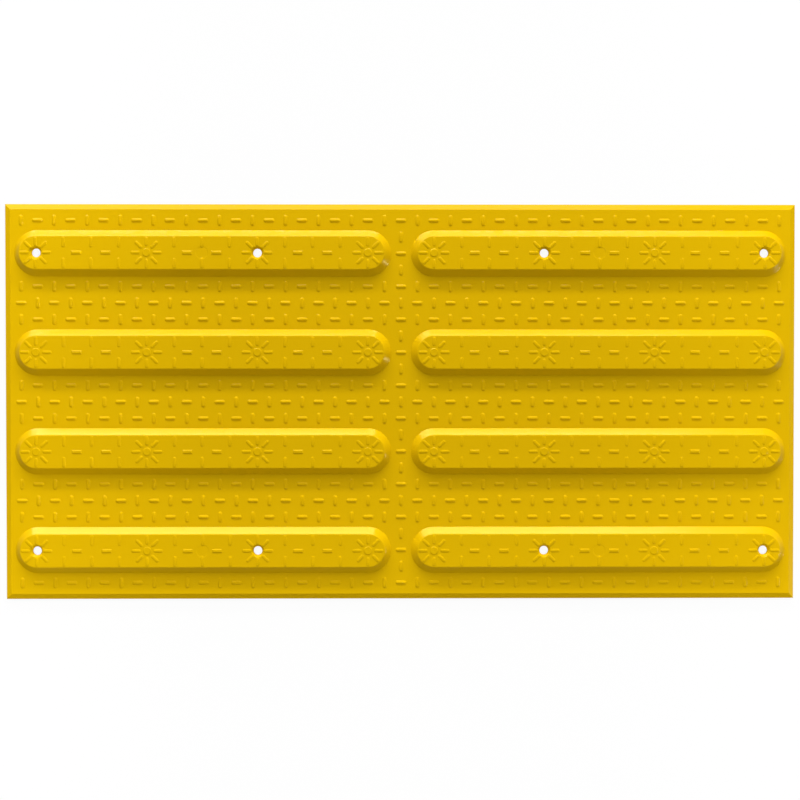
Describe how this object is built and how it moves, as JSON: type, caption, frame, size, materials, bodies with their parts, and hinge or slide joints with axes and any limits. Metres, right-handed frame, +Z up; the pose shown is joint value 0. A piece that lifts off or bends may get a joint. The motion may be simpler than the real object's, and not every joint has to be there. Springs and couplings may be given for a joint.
{
  "type": "tactile paving slab",
  "caption": "Rectangular moulded plastic tactile tile with raised round-ended guiding bars, hollow and ribbed underneath, a bevelled edge and countersunk screw holes through the outer bars.",
  "frame": {"origin": "middle of the underside, on the floor plane", "axes": "+X along the bars and the long side, +Y across the bars, +Z up out of the walked-on face"},
  "size_m": [0.6, 0.3, 0.0094],
  "materials": {
    "yellow_plastic": "satin moulded plastic, coloured through"
  },
  "bodies": {
    "root": {"tactile_tile": "yellow_plastic"}
  },
  "joints": []
}
